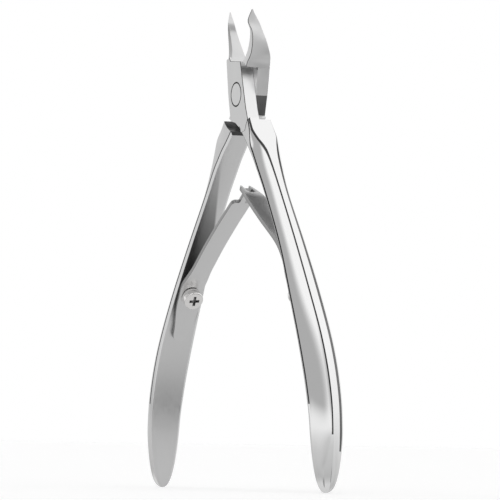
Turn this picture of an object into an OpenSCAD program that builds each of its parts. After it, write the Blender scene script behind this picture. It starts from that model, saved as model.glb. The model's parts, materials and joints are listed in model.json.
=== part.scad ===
/* [Overall] */
// Height of the pivot above the surface under the handle ends
pivot_h = 89.6; // [88:0.1:92]
// Angle from each half's own centre line to the open rest pose
open_angle = 17.25; // [15:0.25:19]

/* [Lap joint] */
// Thickness of the two lapped plates together
joint_t = 5.9; // [5:0.1:7]
// Gap between the two lapped faces
lap_gap = 0.04; // [0.02:0.01:0.1]
// Radius of the pocket in each shoulder that clears the other plate
shoulder_r = 8.7; // [8.4:0.1:9]
// Radius of the pocket under each jaw that clears the other plate
jaw_r = 8; // [7.9:0.1:8.4]

/* [Rivet] */
// Radius of the flush rivet heads
rivet_head_r = 2.7; // [2.4:0.1:3]
// Radius of the rivet shaft
rivet_r = 1.8; // [1.4:0.1:2]
// Depth of each rivet head
rivet_head_t = 1.1; // [0.8:0.1:1.4]
// Running clearance between the rivet and the half that turns on it
rivet_gap = 0.03; // [0.02:0.01:0.05]

/* [Jaws] */
// Height of the jaw tips above the pivot, jaws closed
tip_z = 20; // [19:0.25:21]
// Half of the gap left between the closed cutting edges
edge_gap = 0.03; // [0.02:0.01:0.05]

/* [Handles] */
// Width of the chamfer along the flat inner face
face_chamfer = 0.5; // [0.2:0.05:0.6]
// Rings along the straight run of a handle
handle_rings = 40; // [24:2:60]
// Rings round the end of a handle
end_rings = 8; // [5:1:14]

/* [Springs] */
// Thickness of the spring strip
leaf_t = 0.95; // [0.6:0.05:1]
// Half width of the strip along its long run
leaf_half_w = 2.3; // [2:0.1:2.5]
// Half width of the strip round the screw
foot_half_w = 2.9; // [2.6:0.1:3.1]
// Half width of the tongue at the end of the left strip
tongue_half_w = 0.6; // [0.5:0.05:0.7]
// Half width of the slot in the end of the right strip
slot_half_w = 0.85; // [0.8:0.05:1]
// Length of the tongue and of the slot
tongue_len = 4.2; // [3.6:0.2:4.6]

/* [Spring screws] */
// Radius of the screw head
screw_head_r = 2.25; // [2:0.05:2.4]
// Height of the screw head
screw_head_t = 2.2; // [1.4:0.1:2.4]
// Radius of the thread, as a plain shank
screw_r = 1; // [0.8:0.1:1.1]
// Length of thread in the handle
screw_len = 2.1; // [1.6:0.1:2.3]
// Arm length of the cross recess, tip to tip
cross_w = 2.6; // [2:0.1:2.8]
// Width of one arm of the cross recess
cross_t = 0.7; // [0.5:0.05:0.8]
// Depth of the cross recess
cross_d = 0.7; // [0.4:0.1:0.9]

/* [Hidden] */
$fn = 96;
half_t = joint_t / 2;
face_gap = 0.15;      // air under a spring foot, and again under the screw head
crotch_gap = 0.12;    // from the closing plane to each handle, under the lap
crotch_z = 8.2;       // how far under the pivot that flat starts
spring_rings = 40;
foot_end_w = 2.0;     // half width where the round foot runs into its straight sides
foot_seats = [8.8, 8.5, 8.2, 7.88, 7.68];  // handle stations that the foot lies on
screw_seat = 7.88;       // handle station of the screw

// Handle stations from the crotch to the end, open pose, measured from the pivot:
// x and z of the flat inner face, half width, height of the side wall at -Y, height of the
// outer ridge, half width of the flat top that runs out into it, height of the side wall at +Y
handle_stations = [
    [1.0, -7.2, 2.9, 5.3, 5.32, 2.8, 5.3],
    [2.6, -8.8, 2.9, 4.96, 5.02, 2.8, 4.96],
    [4.9, -10.9, 2.9, 3.6, 4.3, 2.7, 4.5],
    [7.0, -12.8, 3.0, 1.7, 3.9, 2.1, 4.2],
    [8.8, -14.6, 3.0, 1.25, 3.5, 0.95, 3.2],
    [11.2, -17.3, 3.05, 1.05, 3.1, 0.3, 1.9],
    [16.1, -23.6, 3.0, 0.95, 2.9, 0.08, 0.95],
    [24.4, -34.9, 3.3, 0.95, 2.9, 0.08, 0.95],
    [31.4, -46.1, 3.9, 1.0, 3.5, 0.08, 1],
    [37.6, -57.4, 4.25, 1.1, 4.4, 0.08, 1.1],
    [41.4, -67.0, 4.2, 1.2, 4.8, 0.08, 1.2],
    [43.2, -75.6, 3.95, 1.2, 4.6, 0.08, 1.2],
    [44.0, -89.6, 3.6, 1.2, 3.6, 0.08, 1.2]
];

// Jaw stations from the root to the tip, closed pose, measured from the pivot:
// z, gap from the closing plane, y of the front, x of the front outer edge,
// x and y of the back outer edge, y of the back of the inner face
jaw_stations = [
    [6.6, 0.9, -2.85, 3.2, 3.2, 2.9, 1.4],
    [8.2, 0.95, -2.8, 3.05, 3.3, 2.9, 1.2],
    [9.5, 1.05, -2.4, 3.1, 3.65, 2.75, 0.95],
    [11.0, 1.0, -2.1, 3.0, 3.85, 2.25, 0.6],
    [13.5, 1.05, -2.05, 2.65, 3.4, 1.3, 0.0],
    [15.5, 0.85, -2.25, 1.95, 2.5, 0.45, -0.6],
    [17.4, 0.0, -2.75, 0.3, 1.7, -0.4, -1.3],
    [tip_z, 0.0, -2.1, 0.12, 0.22, -1.85, -1.9]
];

// Centre lines from foot to tip of the two springs, both as if at +X, open pose, from the
// pivot: the one that ends in a fork, and the one that ends in a tongue
fork_bend = [
    [27.3, -41.0], [24.9, -37.6], [21.0, -33.7], [12.8, -28.7], [7.9, -25.6], [4.1, -23.1],
    [-0.9, -21.0]
];
tongue_bend = [
    [26.5, -41.2], [22.8, -38.4], [17.0, -33.9], [9.7, -28.8], [5.8, -26.3], [2.6, -24.2],
    [-0.9, -21.6]
];

// Smooth curve through a list of stations; t counts the stations
function at(list, t) =
    let (n = len(list) - 1,
         i = min(max(floor(t), 0), n - 1),
         f = t - i,
         a = list[max(i - 1, 0)],
         b = list[i],
         c = list[i + 1],
         d = list[min(i + 2, n)])
    b + 0.5 * f * ((c - a) + f * ((2 * a - 5 * b + 4 * c - d) + f * (3 * b - a - 3 * c + d)));

function unit(v) = v / norm(v);
function xz(s) = [s[0], s[1]];
function tangent(list, t) =
    unit(xz(at(list, min(t + 0.02, len(list) - 1))) - xz(at(list, max(t - 0.02, 0))));

// Faces of a closed tube of rings, each ring with m points
function tube_faces(rings, m) = concat(
    [[for (j = [m - 1 : -1 : 0]) j]],
    [for (i = [0 : rings - 2], j = [0 : m - 1])
        let (k = (j + 1) % m) [i * m + j, (i + 1) * m + k, (i + 1) * m + j]],
    [for (i = [0 : rings - 2], j = [0 : m - 1])
        let (k = (j + 1) % m) [i * m + j, i * m + k, (i + 1) * m + k]],
    [[for (j = [0 : m - 1]) (rings - 1) * m + j]]
);

// One ring of the right handle; k shrinks it round the end
function handle_ring(t, k) =
    let (s = at(handle_stations, t),
         u = tangent(handle_stations, t),
         out = [-u[1], u[0]],
         w = s[2] * k,
         c = face_chamfer * min(1, 2 * k),
         side = max(s[3] * pow(k, 0.8), c + 0.05),
         top = max(s[4] * pow(k, 0.8), side + 0.05),
         flat_w = min(s[5], 0.9 * w),
         far = max(s[6] * pow(k, 0.8), c + 0.05),
         section = [[-w + c, 0], [-w, c], [-w, side], [-flat_w, top],
                    [flat_w, max(top, (top + far) / 2)], [w, far], [w, c], [w - c, 0]])
    [for (p = section) [s[0] + out[0] * p[1], p[0], s[1] + out[1] * p[1]]];

last_run = len(handle_stations) - 2;
handle_points = concat(
    [for (i = [0 : handle_rings]) each handle_ring(last_run * i / handle_rings, 1)],
    [for (i = [1 : end_rings])
        let (a = 86 * i / end_rings) each handle_ring(last_run + sin(a), cos(a))]
);

module handle() {
    polyhedron(handle_points, tube_faces(handle_rings + 1 + end_rings, 8), convexity = 6);
}

// One ring of the jaw that stands at +X
function jaw_ring(t) =
    let (s = at(jaw_stations, t),
         gap = max(s[1], 0) + edge_gap,
         front = max(s[3], gap + 0.06))
    [for (p = [[gap, s[6]], [max(s[4], gap + 0.12), s[5]], [front, s[2]], [gap, s[2]]])
        [p[0], p[1], s[0]]];

jaw_rings = 28;
jaw_points = [for (i = [0 : jaw_rings]) each jaw_ring((len(jaw_stations) - 1) * i / jaw_rings)];

module jaw() {
    polyhedron(jaw_points, tube_faces(jaw_rings + 1, 4), convexity = 4);
}

// Outline of the lap plate whose jaw stands at -X, closed pose
function arc(r, from, to, n) =
    [for (i = [0 : n]) let (a = from + (to - from) * i / n) [r * sin(a), r * cos(a)]];
plate_outline = concat(
    [[-2.9, 9.4], [-3.15, 8.2], [-4.2, -1], [-4.5, -3.6]],
    arc(shoulder_r - 2.2, 232, 200, 3),
    arc(shoulder_r - 0.9, 184, 180, 1),
    [[0.2, -9.3], [2.2, -9.6], [4.4, -7.4], [4.05, -4.6], [4.05, 6.5],
     [0.85, 7.7], [-1, 8.4], [-1.2, 9.4]]
);

module plate() {
    translate([0, -lap_gap / 2, 0])
        rotate([90, 0, 0])
            linear_extrude(height = half_t - lap_gap / 2) polygon(plate_outline);
}

// Round solid on the pivot axis, from y0 to y1
module on_pivot(r, y0, y1) {
    translate([0, y1, 0]) rotate([90, 0, 0]) cylinder(h = y1 - y0, r = r);
}

// Half with its plate at -Y, jaw at -X and handle at +X, open pose, pivot at the origin;
// front says that the cutting edge stands on the plate's side
module half_body(front) {
    difference() {
        union() {
            rotate([0, -open_angle, 0]) {
                plate();
                mirror([1, 0, 0])
                    difference() {
                        mirror([0, front ? 0 : 1, 0]) jaw();
                        on_pivot(jaw_r, -lap_gap / 2, half_t + 1);
                    }
            }
            difference() {
                handle();
                on_pivot(shoulder_r, -lap_gap / 2, half_t + 1);
                rotate([0, -open_angle, 0])
                    translate([crotch_gap - crotch_z, -half_t - 1, -2 * crotch_z])
                        cube([crotch_z, joint_t + 2, crotch_z]);
            }
        }
        screw_hole();
    }
}

// Screw seat: a frame on the inner face of the right handle, +Z away from the handle
seat = xz(at(handle_stations, screw_seat));
seat_dir = tangent(handle_stations, screw_seat);
seat_tilt = atan2(seat_dir[0], -seat_dir[1]);

module at_seat() {
    translate([seat[0], 0, seat[1]]) rotate([0, -90 - seat_tilt, 0]) children();
}

module screw_hole() {
    at_seat() translate([0, 0, -screw_len]) cylinder(h = screw_len + 1, r = screw_r);
}

// Spring centre line with its foot laid along the handle face
lift = leaf_t / 2 + face_gap;
function on_face(t) =
    let (u = tangent(handle_stations, t)) xz(at(handle_stations, t)) + lift * [u[1], -u[0]];
foot = [for (t = foot_seats) on_face(t)];
spring_end = len(foot) + len(fork_bend) - 1;

// Half width of the strip: round foot, wide at the screw, narrower long run
function strip_half_w(t) =
    t < 1 ? foot_end_w * sqrt(1 - pow(1 - t, 2) * 0.9) :
    t < 2.4 ? foot_end_w + (foot_half_w - foot_end_w) * (t - 1) / 1.4 :
    t < 4 ? foot_half_w :
    t < 6 ? foot_half_w + (leaf_half_w - foot_half_w) * (t - 4) / 2 : leaf_half_w;

function strip_ring(line, t, y0, y1) =
    let (p = at(line, t), u = tangent(line, t), n = [-u[1], u[0]] * leaf_t / 2)
    [[p[0] - n[0], y0, p[1] - n[1]], [p[0] + n[0], y0, p[1] + n[1]],
     [p[0] + n[0], y1, p[1] + n[1]], [p[0] - n[0], y1, p[1] - n[1]]];

// Part of the strip between two places on its line, with its two side edges as functions of t
module strip(line, t0, t1, rings, lo, hi) {
    points = [for (i = [0 : rings])
        let (t = t0 + (t1 - t0) * i / rings) each strip_ring(line, t, lo(t), hi(t))];
    polyhedron(points, tube_faces(rings + 1, 4), convexity = 4);
}

tip_t = tongue_len / 5;      // length of the tongue in stations of the line
body_end = spring_end - tip_t;

module leaf(line) {
    strip(line, 0, body_end, spring_rings,
          function(t) -strip_half_w(t), function(t) strip_half_w(t));
}

module spring_hole() {
    at_seat() cylinder(h = leaf_t * 3, r = screw_r + 0.15, center = true);
}

module screw() {
    top = leaf_t + 2 * face_gap;
    at_seat() difference() {
        union() {
            translate([0, 0, -screw_len]) cylinder(h = screw_len + top, r = screw_r);
            translate([0, 0, top]) cylinder(h = screw_head_t - 0.35, r = screw_head_r);
            translate([0, 0, top + screw_head_t - 0.35])
                cylinder(h = 0.35, r1 = screw_head_r, r2 = screw_head_r - 0.4);
        }
        for (a = [45, 135])
            translate([0, 0, top + screw_head_t - cross_d / 2 + 0.05]) rotate([0, 0, a])
                cube([cross_w, cross_t, cross_d + 0.1], center = true);
    }
}

module lifted() {
    translate([0, 0, pivot_h]) children();
}

module right_half() {
    color([0.78, 0.78, 0.79]) lifted() difference() {
        half_body(true);
        on_pivot(rivet_r, -half_t - 1, 0);
        on_pivot(rivet_head_r, -half_t - 1, -half_t + rivet_head_t);
    }
}

module left_half() {
    color([0.78, 0.78, 0.79]) lifted() difference() {
        rotate([0, 0, 180]) half_body(false);
        on_pivot(rivet_r + rivet_gap, -1, half_t + 1);
        on_pivot(rivet_head_r + rivet_gap, half_t - rivet_head_t - rivet_gap, half_t + 1);
    }
}

module pivot_rivet() {
    color([0.74, 0.74, 0.75]) lifted() {
        on_pivot(rivet_r, -half_t + 0.3, half_t - 0.3);
        on_pivot(rivet_head_r, -half_t, -half_t + rivet_head_t);
        on_pivot(rivet_head_r, half_t - rivet_head_t, half_t);
    }
}

module right_spring() {
    line = concat(foot, fork_bend);
    color([0.55, 0.55, 0.56]) lifted() {
        difference() {
            leaf(line);
            spring_hole();
        }
        for (s = [0, 1]) mirror([0, s, 0])
            strip(line, body_end - 0.02, spring_end, 6, function(t) slot_half_w,
                  function(t) leaf_half_w - 0.25 - 0.55 * (t - body_end));
    }
}

module left_spring() {
    line = concat(foot, tongue_bend);
    color([0.72, 0.72, 0.73]) lifted() mirror([1, 0, 0]) {
        difference() {
            leaf(line);
            spring_hole();
        }
        strip(line, body_end - 0.02, spring_end, 6, function(t) -tongue_half_w,
              function(t) tongue_half_w);
    }
}

module right_spring_screw() {
    color([0.82, 0.81, 0.8]) lifted() screw();
}

module left_spring_screw() {
    color([0.82, 0.81, 0.8]) lifted() mirror([1, 0, 0]) screw();
}

right_half();
left_half();
pivot_rivet();
left_spring();
right_spring();
left_spring_screw();
right_spring_screw();
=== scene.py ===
import json
import math
import bmesh
import bpy
from mathutils import Matrix, Vector


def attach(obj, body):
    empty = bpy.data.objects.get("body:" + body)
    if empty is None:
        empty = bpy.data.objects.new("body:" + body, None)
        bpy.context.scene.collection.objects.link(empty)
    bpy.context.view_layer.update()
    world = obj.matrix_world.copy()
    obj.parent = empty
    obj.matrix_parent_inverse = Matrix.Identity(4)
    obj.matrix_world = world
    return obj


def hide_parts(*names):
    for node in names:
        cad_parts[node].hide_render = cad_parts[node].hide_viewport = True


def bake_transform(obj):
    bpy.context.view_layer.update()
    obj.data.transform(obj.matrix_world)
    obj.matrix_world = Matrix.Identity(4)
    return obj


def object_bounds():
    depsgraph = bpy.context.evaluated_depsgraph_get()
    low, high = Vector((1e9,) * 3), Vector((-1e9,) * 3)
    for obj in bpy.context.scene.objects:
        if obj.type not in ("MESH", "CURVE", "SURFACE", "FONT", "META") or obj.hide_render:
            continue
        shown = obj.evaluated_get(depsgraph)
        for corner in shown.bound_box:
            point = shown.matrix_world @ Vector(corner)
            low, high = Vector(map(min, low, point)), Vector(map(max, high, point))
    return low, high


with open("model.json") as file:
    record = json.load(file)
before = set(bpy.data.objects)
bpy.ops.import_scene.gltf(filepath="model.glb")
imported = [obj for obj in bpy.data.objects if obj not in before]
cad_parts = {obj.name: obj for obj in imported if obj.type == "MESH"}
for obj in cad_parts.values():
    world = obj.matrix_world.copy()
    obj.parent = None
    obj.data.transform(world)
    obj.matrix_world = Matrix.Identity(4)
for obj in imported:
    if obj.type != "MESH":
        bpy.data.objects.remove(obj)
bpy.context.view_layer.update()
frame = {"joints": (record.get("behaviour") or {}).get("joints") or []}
mm = 0.001
jointOf = {joint["name"]: joint for joint in frame["joints"]}
pivot = Vector(jointOf["jaw_pivot"]["pos_m"]) / mm      # the hinge, in mm; shapes below are measured from it
print("frame loaded, pivot at", tuple(round(v, 2) for v in pivot), "mm")


class Wire:
    # one socket of a node tree, so that shader maths reads as Python
    def __init__(self, tree, socket):
        self.tree, self.socket = tree, socket

    def maths(self, operation, first, second):
        node = self.tree.nodes.new("ShaderNodeMath")
        node.operation = operation
        for slot, value in zip(node.inputs, (first, second)):
            connect(self.tree, slot, value)
        return Wire(self.tree, node.outputs[0])

    def __add__(self, other): return self.maths("ADD", self, other)
    def __radd__(self, other): return self.maths("ADD", other, self)
    def __sub__(self, other): return self.maths("SUBTRACT", self, other)
    def __rsub__(self, other): return self.maths("SUBTRACT", other, self)
    def __mul__(self, other): return self.maths("MULTIPLY", self, other)
    def __rmul__(self, other): return self.maths("MULTIPLY", other, self)
    def __truediv__(self, other): return self.maths("DIVIDE", self, other)
    def __rtruediv__(self, other): return self.maths("DIVIDE", other, self)


def connect(tree, slot, value):
    if isinstance(value, Wire):
        tree.links.new(value.socket, slot)
    else:
        slot.default_value = value


class Finish:
    # a material or world under construction
    def __init__(self, owner):
        owner.use_nodes = True
        self.owner, self.tree = owner, owner.node_tree
        self.tree.nodes.clear()

    def make(self, kind, settings=None, inputs=None, out=0):
        node = self.tree.nodes.new("ShaderNode" + kind)
        for key, value in (settings or {}).items():
            if key == "stops":
                for stop in value[1:-1]:
                    node.color_ramp.elements.new(stop[0])
                for element, (position, colour) in zip(node.color_ramp.elements, value):
                    element.position, element.color = position, colour
            else:
                setattr(node, key, value)
        for key, value in (inputs or {}).items():
            connect(self.tree, node.inputs[key], value)
        return Wire(self.tree, node.outputs[out]) if node.outputs else None

    def blendColours(self, factor, first, second):
        return self.make("Mix", {"data_type": "RGBA"}, {0: factor, 6: first, 7: second}, 2)

    def ease(self, value, low, high):
        # 0 below low, 1 above high and smooth between them; low may be the larger one
        return self.make("MapRange", {"interpolation_type": "SMOOTHSTEP"},
                         {"Value": value, "From Min": low, "From Max": high})

    def parts(self, vector):
        # x, y and z of a vector
        first = self.make("SeparateXYZ", None, {0: vector})
        return [Wire(self.tree, socket) for socket in first.socket.node.outputs]

    def grain(self, stretch, detail=2.0, rough=0.5):
        # noise whose size along X, Y and Z is set in grains per metre
        place = self.make("TexCoord", out="Object")
        spread = self.make("Mapping", None, {"Vector": place, "Scale": stretch})
        return self.make("TexNoise", None, {"Vector": spread, "Scale": 1.0, "Detail": detail,
                                            "Roughness": rough})


def grey(level, warm=0.0):
    return (level * (1 + warm), level, level * (1 - warm), 1.0)


def metal(name, tone, gloss, streaks, streakDepth, mottle, warm=0.0, shadeOf=None):
    # a bare metal: tone is the lightness, gloss the roughness, streaks the brush marks per metre;
    # shadeOf gives the amount of a darker tone
    finish = Finish(bpy.data.materials.new(name))
    brush = finish.grain(streaks, 3.0, 0.6)
    cloud = finish.grain((140.0, 140.0, 90.0), 3.0, 0.55)
    speck = finish.grain((5200.0, 5200.0, 5200.0), 1.0)
    shade = finish.blendColours(cloud * 0.55 + brush * 0.45, grey(tone - mottle, warm),
                                grey(tone + mottle, warm))
    if shadeOf:
        shade = finish.blendColours(shadeOf(finish), shade, grey(tone * 0.28, warm))
    rough = gloss + (brush - 0.5) * gloss * 0.5 + (cloud - 0.5) * gloss * 0.45
    height = brush * 0.8 + speck * 0.2
    bump = finish.make("Bump", None, {"Strength": streakDepth, "Distance": 0.00002, "Height": height})
    surface = finish.make("BsdfPrincipled", None, {
        "Base Color": shade, "Roughness": rough, "Metallic": 1.0, "Normal": bump})
    finish.make("OutputMaterial", None, {"Surface": surface})
    return finish.owner


wedge = {
    # mm from the pivot; the border runs from this height and y, and leans by this much
    "height": 12.9, "y": -2.5, "lean": -0.25, "soft": (0.25, -0.35), "grow": (-8.0, -35.0),
    "fade": (-52.0, -46.0)}


def springShade(finish):
    # a painted dark wedge: it stands in for the underside of the spring, mirrored in the
    # inner face of the left handle, and stays where it is when the tool moves
    x, y, z = finish.parts(finish.make("TexCoord", out="Object"))
    y, z = y / mm, z / mm - pivot.z
    border = (z + wedge["height"]) * wedge["lean"] + wedge["y"]
    return finish.ease(y - border, *wedge["soft"]) * finish.ease(z, *wedge["grow"]) * \
        finish.ease(z, *wedge["fade"])


def makeFinishes():
    return {
        "satin": metal("satinSteel", 0.70, 0.36, (2600.0, 2600.0, 260.0), 0.35, 0.035),
        "inner": metal("innerSteel", 0.74, 0.36, (2600.0, 2600.0, 260.0), 0.35, 0.035, shadeOf=springShade),
        # the fork spring is a darker copy of the spring steel: painted shade
        "forkFace": metal("paintedShadeForkSpring", 0.56, 0.33, (1500.0, 3000.0, 1500.0), 0.3, 0.03),
        "ground": metal("groundSteel", 0.74, 0.42, (3400.0, 3400.0, 500.0), 0.35, 0.04),
        "polish": metal("polishedSteel", 0.90, 0.085, (900.0, 900.0, 120.0), 0.04, 0.012),
        # painted dark lines on edges, chamfers and seams: painted shade and painted dark reflections
        "edge": metal("paintedDarkLine", 0.07, 0.22, (900.0, 900.0, 200.0), 0.05, 0.02),
        # painted shade on the walls of the pockets and cuts at the joint
        "pocket": metal("paintedPocketShade", 0.13, 0.34, (600.0, 2400.0, 600.0), 0.3, 0.03),
        # a lighter tone for the plate's side walls: painted highlight
        "side": metal("paintedBrightSide", 0.88, 0.36, (900.0, 2400.0, 300.0), 0.15, 0.03),
        # painted shade for one stretch of the plate's side wall
        "skin": metal("lobeShadePaint", 0.24, 0.3, (900.0, 2400.0, 300.0), 0.2, 0.03),
        # a darker copy of the ground steel for the left jaw's hollow strip: painted shade
        "hollow": metal("paintedHollowShade", 0.42, 0.3, (2600.0, 2600.0, 500.0), 0.3, 0.03),
        "spring": metal("springSteel", 0.72, 0.33, (1500.0, 3000.0, 1500.0), 0.3, 0.03),
        # painted shade on the rims of the springs
        "rim": metal("paintedSpringRimShade", 0.34, 0.3, (1500.0, 1500.0, 1500.0), 0.2, 0.03),
        "nickel": metal("nickelPlate", 0.84, 0.16, (900.0, 900.0, 900.0), 0.08, 0.03, 0.012),
        "recess": metal("recessShade", 0.3, 0.4, (1200.0, 1200.0, 1200.0), 0.2, 0.03),
        "rivet": metal("rivetSteel", 0.72, 0.34, (2600.0, 2600.0, 300.0), 0.3, 0.03),
    }


def along(stations, t):
    # smooth curve through a list of stations; t counts the stations
    last = len(stations) - 1
    i = min(max(int(math.floor(t)), 0), last - 1)
    f = t - i
    a, b = stations[max(i - 1, 0)], stations[i]
    c, d = stations[i + 1], stations[min(i + 2, last)]
    return [q + 0.5 * f * ((r - p) + f * ((2 * p - 5 * q + 4 * r - s) + f * (3 * q - p - 3 * r + s)))
            for p, q, r, s in zip(a, b, c, d)]


def heading(stations, t):
    before, after = along(stations, max(t - 0.02, 0)), along(stations, min(t + 0.02, len(stations) - 1))
    return Vector((after[0] - before[0], after[1] - before[1])).normalized()


def roundOff(before, corner, after, radius, steps):
    # the corner as a short curve that leaves and joins its two straight sides
    before, corner, after = Vector(before), Vector(corner), Vector(after)
    reachIn = min(radius, 0.45 * (before - corner).length)
    reachOut = min(radius, 0.45 * (after - corner).length)
    start = corner + (before - corner).normalized() * reachIn
    end = corner + (after - corner).normalized() * reachOut
    points = []
    for i in range(steps + 1):
        f = i / steps
        points.append(start * (1 - f) ** 2 + corner * 2 * f * (1 - f) + end * f ** 2)
    return points


def tubeMesh(name, rings, zoneOf, slots):
    # closed tube through rings of equal length; zoneOf(ring, segment) names the finish
    count = len(rings[0])
    shape = bmesh.new()
    verts = [[shape.verts.new(point) for point in ring] for ring in rings]
    for i in range(len(rings) - 1):
        for j in range(count):
            k = (j + 1) % count
            face = shape.faces.new((verts[i][j], verts[i + 1][j], verts[i + 1][k], verts[i][k]))
            face.material_index = slots.index(zoneOf(i, j))
    for ring, turn in ((verts[0], 1), (verts[-1], -1)):
        shape.faces.new(ring[::turn]).material_index = slots.index(zoneOf(0 if turn > 0 else -1, 0))
    return finishMesh(name, shape)


def finishMesh(name, shape):
    bmesh.ops.recalc_face_normals(shape, faces=shape.faces)
    mesh = bpy.data.meshes.new(name)
    shape.to_mesh(mesh)
    shape.free()
    return mesh


def newPiece(name, mesh, slots, finishes):
    piece = bpy.data.objects.new(name, mesh)
    bpy.context.scene.collection.objects.link(piece)
    for slot in slots:
        mesh.materials.append(finishes[slot])
    return piece


def place(piece):
    # from mm round the pivot to metres in the tool's own frame
    piece.data.transform(Matrix.Scale(mm, 4) @ Matrix.Translation(pivot))


def smooth(piece, degrees=24):
    piece.data.shade_smooth()
    piece.data.set_sharp_from_angle(angle=math.radians(degrees))


def combine(piece, other, operation):
    # boolean with an object that is used up
    cut = piece.modifiers.new("cut", "BOOLEAN")
    cut.operation, cut.solver, cut.object = operation, "EXACT", other
    cut.material_mode = "INDEX"
    bpy.context.view_layer.update()
    result = bpy.data.meshes.new_from_object(piece.evaluated_get(bpy.context.evaluated_depsgraph_get()))
    piece.modifiers.clear()
    piece.data = result
    bpy.data.objects.remove(other)


def pivotDrum(radius, y0, y1, slots, finishes, zone="pocket", chamfer=0.0, sides=160):
    # round solid on the pivot axis, used to cut pockets and holes
    profile = [(radius + chamfer, y0), (radius, y0 + chamfer), (radius, y1)] if chamfer else [
        (radius, y0), (radius, y1)]
    rings = [[(r * math.sin(2 * math.pi * i / sides), y, r * math.cos(2 * math.pi * i / sides))
              for i in range(sides)] for r, y in profile]
    return newPiece("drum", tubeMesh("drum", rings, lambda i, j: zone, slots), slots, finishes)


halfShape = {
    "openAngle": 17.25,        # each half from its closed place, in degrees
    "halfJoint": 2.95,         # half of the thickness of the lap joint
    "lapGap": 0.04,
    "shoulderRadius": 8.7,
    "jawRadius": 8.0,
    "rivetHole": 2.72,
    "edgeRound": 0.22,         # rounding between side wall and facet
    "ridgeRound": 0.32,
    "facetCrown": 0.24,        # how far the polished facets stand proud of flat
    "faceChamfer": 0.5,
    "crotchGap": 0.12,         # from the closing plane to each handle, under the lap
    "crotchStart": 8.2,
    # stations of the handle where the painted dark lines and rounding change
    "nearLineEnd": 10.4, "ridgeLineEnd": 11.1, "farLineEnd": 11.3, "endRoundStart": 11.1,
    "farCrown": 0.3,           # crown of the far facet, as a part of the near one's
    # x, z of the flat face, half width, side wall at -Y, ridge, half width of the flat top,
    # side wall at +Y
    "handle": [
        [1.0, -7.2, 2.9, 5.3, 5.32, 2.8, 5.3],
        [2.6, -8.8, 2.9, 4.96, 5.02, 2.8, 4.96],
        [4.9, -10.9, 2.9, 3.6, 4.3, 2.7, 4.5],
        [7.0, -12.8, 3.0, 1.7, 3.9, 2.1, 4.2],
        [8.8, -14.6, 3.0, 1.25, 3.5, 0.95, 3.2],
        [11.2, -17.3, 3.05, 1.05, 3.1, 0.3, 1.9],
        [16.1, -23.6, 3.0, 0.95, 2.9, 0.08, 0.95],
        [24.4, -34.9, 3.3, 0.95, 2.9, 0.08, 0.95],
        [31.4, -46.1, 3.9, 1.0, 3.5, 0.08, 1],
        [37.6, -57.4, 4.25, 1.1, 4.4, 0.08, 1.1],
        [41.4, -67.0, 4.2, 1.2, 4.8, 0.08, 1.2],
        [43.2, -75.6, 3.95, 1.2, 4.6, 0.08, 1.2],
        [44.0, -89.6, 3.6, 1.2, 3.6, 0.08, 1.2]],
    # z, gap from the closing plane, y of the front, x of the front outer edge,
    # x and y of the back outer edge, y of the back of the inner face
    "jaw": [
        [6.6, 0.9, -2.85, 3.2, 3.2, 2.9, 1.4],
        [8.2, 0.95, -2.8, 3.05, 3.3, 2.9, 1.2],
        [9.5, 1.05, -2.4, 3.1, 3.65, 2.75, 0.95],
        [11.0, 1.0, -2.1, 3.0, 3.85, 2.25, 0.6],
        [13.5, 1.05, -2.05, 2.65, 3.4, 1.3, 0.0],
        [15.5, 0.85, -2.25, 1.95, 2.5, 0.45, -0.6],
        [17.4, 0.0, -2.75, 0.3, 1.7, -0.4, -1.3],
        [20.0, 0.0, -2.1, 0.12, 0.22, -1.85, -1.9]],
    "edgeGap": 0.03,
}
halfSlots = ["satin", "ground", "polish", "edge", "pocket", "side", "hollow", "skin", "inner"]


def handleSection(station, shrink, t, far):
    # half of the section, from the middle of the flat face to the middle of the back, with its zones;
    # far says that it is the half at +Y
    shape = halfShape
    width = station[2] * shrink
    chamfer = shape["faceChamfer"] * min(1, 2 * shrink)
    side = max(station[3] * shrink ** 0.8, chamfer + 0.05)
    top = max(station[4] * shrink ** 0.8, side + 0.05)
    middle = top
    if far:
        side = max(station[6] * shrink ** 0.8, chamfer + 0.05)
        top = max(top, (top + side) / 2)
        middle = (middle + top) / 2
    flat = min(station[5], 0.9 * width)
    nearEnd = max(0.0, t - shape["endRoundStart"])
    edgeRound = shape["edgeRound"] * (1 + 2 * nearEnd)
    ridgeRound = shape["ridgeRound"] * (1 + 10 * nearEnd)
    face, low, high, crest = (width - chamfer, 0), (width, chamfer), (width, side), (flat, top)
    points, zones = [(0.0, 0.0), (face[0] * 0.5, 0.0)], ["inner", "inner"]
    # the edge zones here are painted dark lines along the handle's edges and its ridge
    lowZone = "edge" if t < shape["nearLineEnd"] else "polish"
    corners = [((0, 0), face, low, 0.1, 3, "polish"), (face, low, high, 0.12, 4, lowZone),
               (low, high, crest, edgeRound, 5, "polish" if far else lowZone)]
    between = ["polish", "satin", "polish"]
    for (before, corner, after, radius, steps, zone), onward in zip(corners, between):
        rounded = roundOff(before, corner, after, radius, steps)
        points += [tuple(p) for p in rounded]
        zones += [zone] * steps + [onward]
    start = Vector(points[-1])
    crestPoints = roundOff(high, crest, (0, middle), ridgeRound, 6)
    normal = Vector((crest[1] - high[1], high[0] - crest[0])).normalized()
    crown = shape["facetCrown"] * (shape["farCrown"] if far else 1)
    crown *= min(1, (Vector(crest) - Vector(high)).length / 3)
    for i in range(1, 10):
        f = i / 10
        spot = start.lerp(crestPoints[0], f) + normal * crown * 4 * f * (1 - f)
        points.append(tuple(spot))
        zones.append("edge" if far and i < 4 and t < shape["farLineEnd"] else "polish")
    ridgeZone = "edge" if t < shape["ridgeLineEnd"] and not far else "polish"
    points += [tuple(p) for p in crestPoints]
    zones += [ridgeZone] * 6 + ["polish"]
    last = crestPoints[-1]
    points += [(last[0] * 0.5, (last[1] + middle) / 2), (0.0, middle)]
    zones += ["polish"]
    return points, zones


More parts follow.
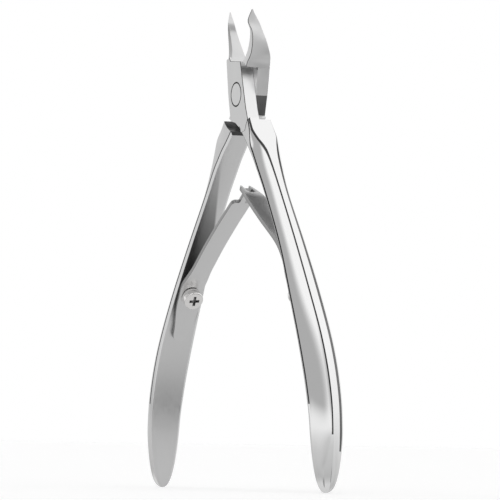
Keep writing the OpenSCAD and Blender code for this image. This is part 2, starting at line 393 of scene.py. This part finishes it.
def handleMesh():
    stations = halfShape["handle"]
    last = len(stations) - 2
    steps = [(last * i / 150, 1.0) for i in range(151)]
    steps += [(last + math.sin(a), math.cos(a)) for a in (math.radians(87 * i / 26) for i in range(1, 27))]
    rings, ringZones = [], []
    for t, shrink in steps:
        station, u = along(stations, t), heading(stations, t)
        out = (-u[1], u[0])
        back, backZones = handleSection(station, shrink, t, True)
        front, frontZones = handleSection(station, shrink, t, False)
        loop = back + [(-y, n) for y, n in front[-2:0:-1]]
        ringZones.append(backZones + frontZones[::-1])
        rings.append([(station[0] + out[0] * n, y, station[1] + out[1] * n) for y, n in loop])
    return tubeMesh("handle", rings, lambda i, j: ringZones[i][j], halfSlots)


def jawMesh(side):
    # side is 1 for the jaw at +X; the outline runs inner back, outer back, outer front, cutting edge
    stations = halfShape["jaw"]
    count = 110
    rings = []
    for i in range(count + 1):
        s = along(stations, (len(stations) - 1) * i / count)
        gap = max(s[1], 0) + halfShape["edgeGap"]
        front = max(s[3], gap + 0.06)
        corners = [(gap, s[6]), (max(s[4], gap + 0.12), s[5]), (front, s[2]), (gap, s[2])]
        ring = []
        for k, (corner, radius) in enumerate(zip(corners, (0.08, 0.35, 0.1, 0.03))):
            ring += roundOff(corners[k - 1], corner, corners[(k + 1) % 4], radius, 4)
            onward = Vector(corners[(k + 1) % 4])
            if k == 1:    # the ground outer face is a little full
                away = Vector((onward[1] - corner[1], corner[0] - onward[0])).normalized() * -1
                away = away if away[0] > 0 else -away
                for f in (0.2, 0.4, 0.6, 0.8):
                    ring.append(Vector(corner).lerp(onward, f) + away * 0.5 * f * (1 - f)
                                * min(1, (onward - Vector(corner)).length / 4))
        rings.append([(side * p[0], p[1], s[0]) for p in ring])
    # a painted dark line along the front outer edge; on the left jaw the hollow strip takes painted shade
    zones = ["ground"] * 14 + ["edge"] * 4 + ["ground" if side > 0 else "hollow"] + ["ground"] * 5
    return tubeMesh("jaw", rings, lambda i, j: zones[j], halfSlots)


def arcPoints(radius, start, end, count):
    turn = [math.radians(start + (end - start) * i / count) for i in range(count + 1)]
    return [(radius * math.sin(a), radius * math.cos(a)) for a in turn]


def plateMesh():
    # lap plate of the half whose jaw stands at -X, closed, thick from the lap face to the outside
    shape = halfShape
    r = shape["shoulderRadius"]
    outline = [(-2.9, 9.4), (-3.15, 8.2), (-4.15, 1), (-4.4, -3.6)]
    outline += arcPoints(r - 2.2, 232, 200, 14) + arcPoints(r - 0.9, 184, 180, 2)
    outline += [(0.2, -9.3), (2.2, -9.6), (4.4, -7.4), (4.05, -4.6), (4.05, 6.5), (0.85, 7.7),
                (-1.0, 8.4), (-1.2, 9.4)]
    count = len(outline)
    sides = []
    for k, point in enumerate(outline):
        before, after = Vector(outline[k - 1]), Vector(outline[(k + 1) % count])
        edgeIn, edgeOut = (Vector(point) - before).normalized(), (after - Vector(point)).normalized()
        # the outline runs anticlockwise, so its inside lies to the left of each edge
        inward = (Vector((-edgeIn[1], edgeIn[0])) + Vector((-edgeOut[1], edgeOut[0]))).normalized()
        sides.append(inward)
    chamfer = 0.12
    rings = []
    for inset, y in ((0, -shape["lapGap"] / 2), (0, -shape["halfJoint"] + chamfer),
                     (chamfer, -shape["halfJoint"])):
        rings.append([(p[0] + n[0] * inset, y, p[1] + n[1] * inset) for p, n in zip(outline, sides)])
    # side walls painted lighter (painted highlight); the chamfer is painted as a dark line
    zoneRows = ["side", "edge", "satin"]
    lobe = 2               # this stretch of the outline gets painted shade
    return tubeMesh("plate", rings, lambda i, j: "skin" if (i, j) == (0, lobe) else zoneRows[i],
                    halfSlots)


def crotchBlock(finishes):
    # what is taken off a handle so that the two meet with a little air when closed
    top, air = halfShape["crotchStart"], halfShape["crotchGap"]
    deep = halfShape["halfJoint"] + 1
    rings = [[(x, y, z) for x, y in ((air - top, -deep), (air, -deep), (air, deep), (air - top, deep))]
             for z in (-2 * top, -top)]
    # the cut faces take the painted shade of the pocket zone, where the handles meet
    block = newPiece("block", tubeMesh("block", rings, lambda i, j: "pocket", halfSlots), halfSlots, finishes)
    block.data.transform(Matrix.Rotation(math.radians(-halfShape["openAngle"]), 4, "Y"))
    return block


def half(name, side, finishes):
    # side 1: plate at -Y, jaw at -X, handle at +X; side -1: the other one, turned round
    shape = halfShape
    opening = Matrix.Rotation(math.radians(-shape["openAngle"] * side), 4, "Y")
    turned = Matrix.Rotation(0 if side > 0 else math.pi, 4, "Z")
    back = -shape["lapGap"] / 2
    far = shape["halfJoint"] + 1

    jaw = newPiece("jaw", jawMesh(-side), halfSlots, finishes)
    # the walls these drums cut take the painted shade of the pocket zone
    jawPocket = pivotDrum(shape["jawRadius"], back, far, halfSlots, finishes)
    handle = newPiece("handle", handleMesh(), halfSlots, finishes)
    shoulderPocket = pivotDrum(shape["shoulderRadius"], back, far, halfSlots, finishes)
    plate = newPiece(name, plateMesh(), halfSlots, finishes)
    jaw.data.transform(opening)
    plate.data.transform(turned @ Matrix.Rotation(math.radians(-shape["openAngle"]), 4, "Y"))
    jawPocket.data.transform(turned)
    combine(jaw, jawPocket, "DIFFERENCE")
    combine(handle, shoulderPocket, "DIFFERENCE")
    combine(handle, crotchBlock(finishes), "DIFFERENCE")
    handle.data.transform(turned)
    combine(plate, handle, "UNION")
    combine(plate, jaw, "UNION")
    # the hole's wall and chamfer are painted dark: painted shade in the seam round the rivet
    hole = pivotDrum(shape["rivetHole"], -shape["halfJoint"] - 0.02, 1, halfSlots, finishes, "edge", 0.16)
    hole.data.transform(turned)
    combine(plate, hole, "DIFFERENCE")
    place(plate)
    smooth(plate)
    return plate


def lathe(name, profile, sides, zones, slots):
    # solid of revolution about Z from (radius, height) points, closed on the axis at both ends
    shape = bmesh.new()
    rows = []
    for radius, height in profile:
        if radius == 0:
            rows.append([shape.verts.new((0, 0, height))])
        else:
            rows.append([shape.verts.new((radius * math.cos(2 * math.pi * i / sides),
                                          radius * math.sin(2 * math.pi * i / sides), height))
                         for i in range(sides)])
    for row, (low, high) in enumerate(zip(rows, rows[1:])):
        for i in range(sides):
            k = (i + 1) % sides
            if len(low) == 1:
                corners = (low[0], high[i], high[k])
            elif len(high) == 1:
                corners = (low[i], high[0], low[k])
            else:
                corners = (low[i], high[i], high[k], low[k])
            shape.faces.new(corners).material_index = slots.index(zones[row])
    return finishMesh(name, shape)


def pivotRivet(finishes):
    size = {"head": 2.62, "shaft": 1.8, "headDepth": 1.1, "chamfer": 0.12}
    t, c = halfShape["halfJoint"], size["chamfer"]
    profile = [(0, -t), (size["head"] - c, -t), (size["head"], -t + c),
               (size["head"], -t + size["headDepth"]),
               (size["shaft"], -t + size["headDepth"]), (size["shaft"], t - size["headDepth"]),
               (size["head"], t - size["headDepth"]), (size["head"], t - c), (size["head"] - c, t), (0, t)]
    # the head's chamfers and sides are painted dark: painted shade in the seam round the rivet
    slots = ["rivet", "edge"]
    zones = ["rivet", "edge", "edge", "rivet", "rivet", "rivet", "edge", "edge", "rivet"]
    piece = newPiece("rivet", lathe("rivet", profile, 128, zones, slots), slots, finishes)
    piece.data.transform(Matrix.Rotation(math.radians(-90), 4, "X"))
    place(piece)
    smooth(piece)
    return piece


springShape = {
    "thick": 0.95, "halfWidth": 2.3, "footHalfWidth": 2.9, "footEnd": 2.0,
    "tongueHalfWidth": 0.6, "slotHalfWidth": 0.85,
    "forkLength": 4.2, "shoulderRound": 1.4, "edgeRound": 0.14, "airUnderFoot": 0.15, "screwStation": 7.88,
    "footSeats": [8.8, 8.5, 8.2, 7.88, 7.68],
    "screwHole": 1.15,
    "forkBend": [[27.3, -41.0], [24.9, -37.6], [21.0, -33.7], [12.8, -28.7], [7.9, -25.6], [4.1, -23.1],
                 [-0.9, -21.0]],
    "tongueBend": [[26.5, -41.2], [22.8, -38.4], [17.0, -33.9], [9.7, -28.8], [5.8, -26.3], [2.6, -24.2],
                   [-0.9, -21.6]],
}


def screwSeat():
    spot = along(halfShape["handle"], springShape["screwStation"])
    return Vector((spot[0], spot[1])), heading(halfShape["handle"], springShape["screwStation"])


def springLine(fork):
    # centre line of a spring as if at +X, foot laid along the handle, then the long bend
    lift = springShape["thick"] / 2 + springShape["airUnderFoot"]
    foot = []
    for t in springShape["footSeats"]:
        spot, u = along(halfShape["handle"], t), heading(halfShape["handle"], t)
        foot.append([spot[0] + lift * u[1], spot[1] - lift * u[0]])
    return foot + springShape["forkBend" if fork else "tongueBend"]


def lineTable(line, count=600):
    # cumulative length along the line, to place a flat strip on it
    samples = [(len(line) - 1) * i / count for i in range(count + 1)]
    points = [Vector(along(line, t)) for t in samples]
    lengths = [0.0]
    for a, b in zip(points, points[1:]):
        lengths.append(lengths[-1] + (b - a).length)
    return samples, lengths


def stationAt(table, s):
    samples, lengths = table
    s = min(max(s, 0.0), lengths[-1])
    low, high = 0, len(lengths) - 1
    while high - low > 1:
        middle = (low + high) // 2
        low, high = (middle, high) if lengths[middle] <= s else (low, middle)
    f = (s - lengths[low]) / max(lengths[high] - lengths[low], 1e-9)
    return samples[low] + (samples[high] - samples[low]) * f


def arcCorner(corner, before, after, radius, steps=6):
    return [tuple(p) for p in roundOff(before, corner, after, radius, steps)]


def springOutline(length, footMiddle, fork):
    # one half of the flat strip, from the foot to the tip, as (distance, half width) points
    size = springShape
    points = []
    end = size["footEnd"]
    for i in range(13):     # round foot
        a = math.pi / 2 * i / 12
        points.append((end - end * math.cos(a), end * math.sin(a)))
    wide, narrow = size["footHalfWidth"], size["halfWidth"]
    for i in range(1, 13):
        f = i / 12
        ease = f * f * (3 - 2 * f)
        points.append((end + (footMiddle - end - 2) * f, end + (wide - end) * ease))
    for i in range(13):
        f = i / 12
        ease = f * f * (3 - 2 * f)
        points.append((footMiddle + 1 + 9 * f, wide + (narrow - wide) * ease))
    neck = length - size["forkLength"]
    if fork:
        prong = narrow - 0.25
        points += [(neck - 2, narrow)]
        points += [(length - 1.6, prong - 0.45)]
        slot = size["slotHalfWidth"]
        points += arcCorner((length, prong - 0.8), (length - 2, prong - 0.5), (length, slot), 0.5)
        points += arcCorner((length, slot), (length, prong), (neck, slot), 0.3)
        points += arcCorner((neck, slot), (length, slot), (neck, 0), 0.5)
        points += [(neck, 0.0)]
    else:
        points += arcCorner((neck, narrow), (neck - 6, narrow), (neck, 0), size["shoulderRound"], 10)
        tongue = size["tongueHalfWidth"]
        points += arcCorner((neck, tongue), (neck, narrow), (length, tongue), 0.3)
        points += arcCorner((length, tongue), (neck, tongue), (length, 0), 0.35)
        points += [(length, 0.0)]
    return points


def leafSpring(name, side, fork, finishes):
    size = springShape
    line = springLine(fork)
    table = lineTable(line)
    length = table[1][-1]
    seat = size["footSeats"].index(size["screwStation"])
    footMiddle = table[1][next(i for i, t in enumerate(table[0]) if t >= seat)]
    outline = springOutline(length, footMiddle, fork)
    loop = outline + [(s, -y) for s, y in outline[::-1] if y > 0]
    slots = ["forkFace" if fork else "spring", "rim"]
    shape = bmesh.new()
    shape.faces.new([shape.verts.new((s, y, 0)) for s, y in loop])
    bmesh.ops.remove_doubles(shape, verts=shape.verts, dist=0.004)
    s = 0.4
    while s < length:
        bmesh.ops.bisect_plane(shape, geom=shape.verts[:] + shape.edges[:] + shape.faces[:],
                               plane_co=(s, 0, 0), plane_no=(1, 0, 0))
        s += 0.4
    made = bmesh.ops.extrude_face_region(shape, geom=shape.faces[:])
    bmesh.ops.translate(shape, vec=(0, 0, size["thick"]),
                        verts=[v for v in made["geom"] if isinstance(v, bmesh.types.BMVert)])
    bmesh.ops.recalc_face_normals(shape, faces=shape.faces)
    rim = [e for e in shape.edges if len(e.link_faces) == 2 and e.calc_face_angle(0) > math.radians(60)
           and abs(e.verts[0].co.z - e.verts[1].co.z) < 0.01]
    bmesh.ops.bevel(shape, geom=rim, offset=size["edgeRound"], segments=3, profile=0.5, affect="EDGES",
                    clamp_overlap=True)
    shape.normal_update()
    # the rim's darker tone is painted shade
    for facet in shape.faces:      # the rim is darker than the two faces
        facet.material_index = 1 if abs(facet.normal.z) < 0.8 else 0
    piece = newPiece(name, finishMesh(name, shape), slots, finishes)
    drum = newPiece("drum", lathe("drum", [(0, -1), (size["screwHole"], -1), (size["screwHole"], 2), (0, 2)],
                                  64, [slots[0]] * 3, slots), slots, finishes)
    drum.data.transform(Matrix.Translation((footMiddle, 0, 0)))
    combine(piece, drum, "DIFFERENCE")
    for vert in piece.data.vertices:
        distance, y, n = vert.co
        t = stationAt(table, distance)
        spot, u = along(line, t), heading(line, t)
        n -= size["thick"] / 2
        vert.co = (side * (spot[0] - u[1] * n), y, spot[1] + u[0] * n)
    if side > 0:
        piece.data.flip_normals()
    place(piece)
    fixNormals(piece)
    smooth(piece, 40)
    return piece


def fixNormals(piece):
    shape = bmesh.new()
    shape.from_mesh(piece.data)
    bmesh.ops.recalc_face_normals(shape, faces=shape.faces)
    shape.to_mesh(piece.data)
    shape.free()


def springScrew(name, side, finishes):
    size = {"head": 2.25, "height": 2.2, "shank": 1.0, "thread": 2.1, "cross": 2.6, "arm": 0.7,
            "depth": 0.7, "round": 0.4, "turn": -4}
    under = springShape["thick"] + 2 * springShape["airUnderFoot"]
    top = under + size["height"]
    profile = [(0, -size["thread"]), (size["shank"], -size["thread"]), (size["shank"], under),
               (size["head"], under), (size["head"], under + 0.3),
               (size["head"] - 0.07, under + 0.34), (size["head"] - 0.07, under + 0.42),
               (size["head"], under + 0.46)]
    for i in range(9):
        a = math.pi / 2 * i / 8
        profile.append((size["head"] - size["round"] + size["round"] * math.cos(a),
                        top - size["round"] * 0.9 + size["round"] * 0.75 * math.sin(a)))
    profile += [(size["head"] * 0.5, top - 0.02), (0, top)]
    slots = ["nickel", "recess"]
    zones = ["nickel"] * (len(profile) - 1)
    piece = newPiece(name, lathe(name, profile, 96, zones, slots), slots, finishes)
    for turn in (0, 90):
        shape = bmesh.new()
        bmesh.ops.create_cube(shape, size=1.0)
        for vert in shape.verts:
            flare = 1.0 if vert.co.z > 0 else 0.62
            narrow = 1.0 if vert.co.z > 0 else 0.8
            vert.co = (vert.co.x * size["cross"] * flare, vert.co.y * size["arm"] * narrow,
                       top + 0.1 + (vert.co.z - 0.5) * (size["depth"] + 0.1))
        for facet in shape.faces:
            facet.material_index = 1
        arm = newPiece("arm", finishMesh("arm", shape), slots, finishes)
        arm.data.transform(Matrix.Rotation(math.radians(turn + size["turn"]), 4, "Z"))
        combine(piece, arm, "DIFFERENCE")
    seat, u = screwSeat()
    away = Vector((u[1], 0, -u[0]))                  # out of the flat face, towards the other handle
    lengthwise = Vector((u[0], 0, u[1]))
    across = away.cross(lengthwise)
    turnTo = Matrix((lengthwise, across, away)).transposed().to_4x4()
    piece.data.transform(Matrix.Translation((seat[0], 0, seat[1])) @ turnTo)
    if side < 0:
        piece.data.transform(Matrix.Scale(-1, 4, (1, 0, 0)))
        piece.data.flip_normals()
    place(piece)
    fixNormals(piece)
    smooth(piece, 30)
    return piece


studio = {
    # brightness of the white room by height, from straight down to straight up
    "walls": [(-1.0, 0.66), (-0.55, 0.70), (-0.34, 0.50), (-0.1, 0.62), (0.1, 0.9), (0.3, 1.0), (1.0, 1.0)],
    # darker panels: brightness, then where each edge starts and ends, by direction
    "panels": [
        (0.04, [("z", 0.62, 0.78), ("y", 0.0, 0.3), ("x", -0.08, -0.17)]),                        # overhead
        (0.10, [("z", -0.24, -0.36), ("z", -0.60, -0.48), ("y", 0.1, 0.3), ("x", 0.55, 0.75)]),   # low right
        (0.45, [("lean", -0.63, -0.87), ("z", 0.1, 0.3)])],                                       # front left
    "lean": 0.3,             # how much the front panel's edge leans with height
}


def makeWorld():
    # a white studio, with darker panels that only the metal sees
    world = bpy.data.worlds.new("studio")
    bpy.context.scene.world = world
    finish = Finish(world)
    x, y, z = finish.parts(finish.make("TexCoord", out="Generated"))
    axes = {"x": x, "y": y, "z": z, "lean": y - z * studio["lean"]}
    walls = [(height * 0.5 + 0.5, grey(level)) for height, level in studio["walls"]]
    room = finish.make("ValToRGB", {"stops": walls}, {0: z * 0.5 + 0.5})
    for level, edges in studio["panels"]:
        masks = [finish.ease(axes[axis], start, end) for axis, start, end in edges]
        mask = masks[0]
        for other in masks[1:]:
            mask = mask * other
        room = finish.blendColours(mask, room, grey(level))
    shown = finish.make("LightPath", out="Is Camera Ray")
    colour = finish.blendColours(shown, room, grey(1.0))
    background = finish.make("Background", None, {"Color": colour, "Strength": 1.0})
    finish.make("OutputWorld", None, {"Surface": background})


def makeStage():
    shape = bmesh.new()
    bmesh.ops.create_grid(shape, x_segments=8, y_segments=8, size=6.0)
    floor = bpy.data.objects.new("floor", finishMesh("floor", shape))
    bpy.context.scene.collection.objects.link(floor)
    floor.location.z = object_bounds()[0][2]
    finish = Finish(bpy.data.materials.new("paleFloor"))
    cloud = finish.grain((3.0, 3.0, 3.0))
    surface = finish.make("BsdfPrincipled", None, {
        "Base Color": finish.blendColours(cloud, grey(0.93), grey(0.96)), "Roughness": 0.7 + cloud * 0.1,
        "Emission Color": grey(1.0), "Emission Strength": 0.18})
    finish.make("OutputMaterial", None, {"Surface": surface})
    floor.data.materials.append(finish.owner)
    floor.visible_glossy = False


cameraPlace = {
    "azimuth": 65.27, "elevation": -1.86, "roll": -0.93, "distance": 1.3016, "focus": 5740.4,
    "target": (0.0, 0.0, 0.0546), "centre": (245.32, 249.07), "picture": 500.0, "sensor": 36.0}


def makeCamera():
    size = cameraPlace
    azimuth, elevation = math.radians(size["azimuth"]), math.radians(size["elevation"])
    toCamera = Vector((math.sin(azimuth) * math.cos(elevation), -math.cos(azimuth) * math.cos(elevation),
                       math.sin(elevation)))
    data = bpy.data.cameras.new("camera")
    camera = bpy.data.objects.new("camera", data)
    bpy.context.scene.collection.objects.link(camera)
    data.sensor_width = size["sensor"]
    data.lens = size["focus"] / size["picture"] * size["sensor"]
    data.shift_x = (size["picture"] / 2 - size["centre"][0]) / size["picture"]
    data.shift_y = (size["centre"][1] - size["picture"] / 2) / size["picture"]
    data.clip_start, data.clip_end = 0.05, 30.0
    camera.location = Vector(size["target"]) + toCamera * size["distance"]
    looking = (-toCamera).to_track_quat("-Z", "Y").to_matrix()
    camera.rotation_euler = (looking @ Matrix.Rotation(math.radians(-size["roll"]), 3, "Z")).to_euler()
    bpy.context.scene.camera = camera


finishes = makeFinishes()
print("finishes made:", len(finishes))
makeCamera()
makeWorld()
makeStage()
print("stage, light and camera made")

pieces = {
    "right_half": (half("rightHalf", 1, dict(finishes, inner=finishes["satin"])),
                   "right_half", "forged_steel"),
    "left_half": (half("leftHalf", -1, finishes), "left_half", "forged_steel"),
}
print("forged halves made")
pieces["pivot_rivet"] = (pivotRivet(finishes), "right_half", "rivet_steel")
pieces["right_spring"] = (leafSpring("forkSpring", 1, True, finishes), "right_spring", "spring_steel")
pieces["left_spring"] = (leafSpring("tongueSpring", -1, False, finishes), "left_spring", "spring_steel")
pieces["right_spring_screw"] = (springScrew("rightScrew", 1, finishes), "right_half", "screw_steel")
pieces["left_spring_screw"] = (springScrew("leftScrew", -1, finishes), "left_half", "screw_steel")
print("rivet, springs and screws made")

for node, (piece, body, slot) in pieces.items():
    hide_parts(node)
    if node.endswith("_spring"):
        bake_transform(piece)
    else:
        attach(piece, body)

bpy.context.scene.view_settings.view_transform = "Standard"
